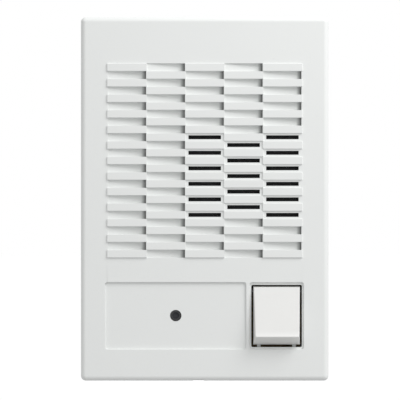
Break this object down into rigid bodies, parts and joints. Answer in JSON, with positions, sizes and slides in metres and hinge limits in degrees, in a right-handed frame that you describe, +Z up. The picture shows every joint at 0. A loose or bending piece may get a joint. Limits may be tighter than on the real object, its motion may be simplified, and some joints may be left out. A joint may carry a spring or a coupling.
{
  "type": "vintage desk intercom",
  "caption": "Flat white intercom station with a chequered slotted grille, a label recess with a microphone hole, and a hinged wedge-shaped talk button.",
  "frame": {"origin": "on the rear mounting face, at the centre of the case and half way between the two wall screws", "axes": "+X to the right as seen from the front, +Y into the wall, +Z up; the face looks to -Y"},
  "size_m": [0.1, 0.0377, 0.1468],
  "materials": {
    "cover_plastic": "satin white",
    "housing_plastic": "satin white",
    "button_plastic": "satin white",
    "black_rubber": "matte",
    "dark_felt": "matte",
    "black_cloth": "matte",
    "bright_steel": "bright zinc",
    "spring_steel": "drawn wire",
    "switch_plastic": "matte",
    "plunger_plastic": "gloss",
    "tinned_brass": "tinned",
    "mic_aluminium": "satin",
    "zinc_steel": "zinc plated",
    "ferrite": "ground ferrite",
    "coil_former": "lacquered",
    "cone_paper": "pressed pulp",
    "cap_paper": "pressed pulp",
    "surround_paper": "doped cloth",
    "spider_cloth": "resin cloth",
    "gasket_cork": "grey board",
    "terminal_board": "paper laminate",
    "lead_insulation": "insulation",
    "board_laminate": "paper laminate",
    "block_plastic": "moulded",
    "chip_plastic": "moulded",
    "capacitor_sleeve": "shrunk sleeve",
    "film_plastic": "dipped",
    "disc_ceramic": "dipped",
    "resistor_lacquer": "lacquer",
    "laminated_steel": "laminated",
    "winding_tape": "tape",
    "trimmer_plastic": "moulded",
    "rotor_plastic": "moulded"
  },
  "bodies": {
    "station": {"front_cover": "cover_plastic", "rear_housing": "housing_plastic", "mic_boot": "black_rubber", "mic_felt": "dark_felt", "grille_cloth": "black_cloth", "button_pin": "bright_steel", "button_spring": "spring_steel", "switch_body": "switch_plastic", "switch_spring": "spring_steel", "switch_pins": "tinned_brass", "mic_capsule": "mic_aluminium", "mic_leads": "tinned_brass", "speaker_basket": "zinc_steel", "speaker_top_plate": "zinc_steel", "speaker_magnet": "ferrite", "speaker_yoke": "zinc_steel", "speaker_surround": "surround_paper", "speaker_spider": "spider_cloth", "speaker_gasket": "gasket_cork", "speaker_terminal_strip": "terminal_board", "speaker_tags": "tinned_brass", "speaker_clamps": "zinc_steel", "speaker_screws": "bright_steel", "speaker_leads": "lead_insulation", "circuit_board": "board_laminate", "board_screws": "bright_steel", "terminal_block": "block_plastic", "terminal_screws": "bright_steel", "amplifier_chip": "chip_plastic", "chip_pins": "tinned_brass", "large_capacitors": "capacitor_sleeve", "small_capacitors": "capacitor_sleeve", "film_capacitors": "film_plastic", "disc_capacitors": "disc_ceramic", "resistors": "resistor_lacquer", "transistors": "chip_plastic", "transformer_core": "laminated_steel", "transformer_winding": "winding_tape", "trimmer_body": "trimmer_plastic"},
    "button": {"talk_button": "button_plastic"},
    "plunger": {"switch_plunger": "plunger_plastic"},
    "cone": {"speaker_cone": "cone_paper", "voice_coil": "coil_former", "speaker_dust_cap": "cap_paper"},
    "rotor": {"trimmer_rotor": "rotor_plastic"}
  },
  "joints": [
    {"name": "talk_button_hinge", "type": "hinge", "parent": "station", "child": "button", "pos_m": [0.029, -0.0274, -0.03735], "axis": [1, 0, 0], "range_deg": [0, 5], "stiffness_Nm_per_rad": 0.25, "springref_deg": -5.16, "deforming": ["button_spring"]},
    {"name": "switch_plunger_slide", "type": "slide", "parent": "station", "child": "plunger", "axis": [0, 1, 0], "range_m": [0, 0.0016], "deforming": ["switch_spring"]},
    {"name": "speaker_cone_slide", "type": "slide", "parent": "station", "child": "cone", "axis": [0, 1, 0], "range_m": [-0.0004, 0.0004], "stiffness_N_per_m": 800, "deforming": ["speaker_surround", "speaker_spider"]},
    {"name": "trimmer_turn", "type": "hinge", "parent": "station", "child": "rotor", "pos_m": [0.013, -0.0125, -0.058], "axis": [0, 1, 0], "range_deg": [-135, 135]}
  ],
  "couplings": [
    {"joint": "switch_plunger_slide", "follows": "talk_button_hinge", "m_per_rad": 0.017}
  ]
}
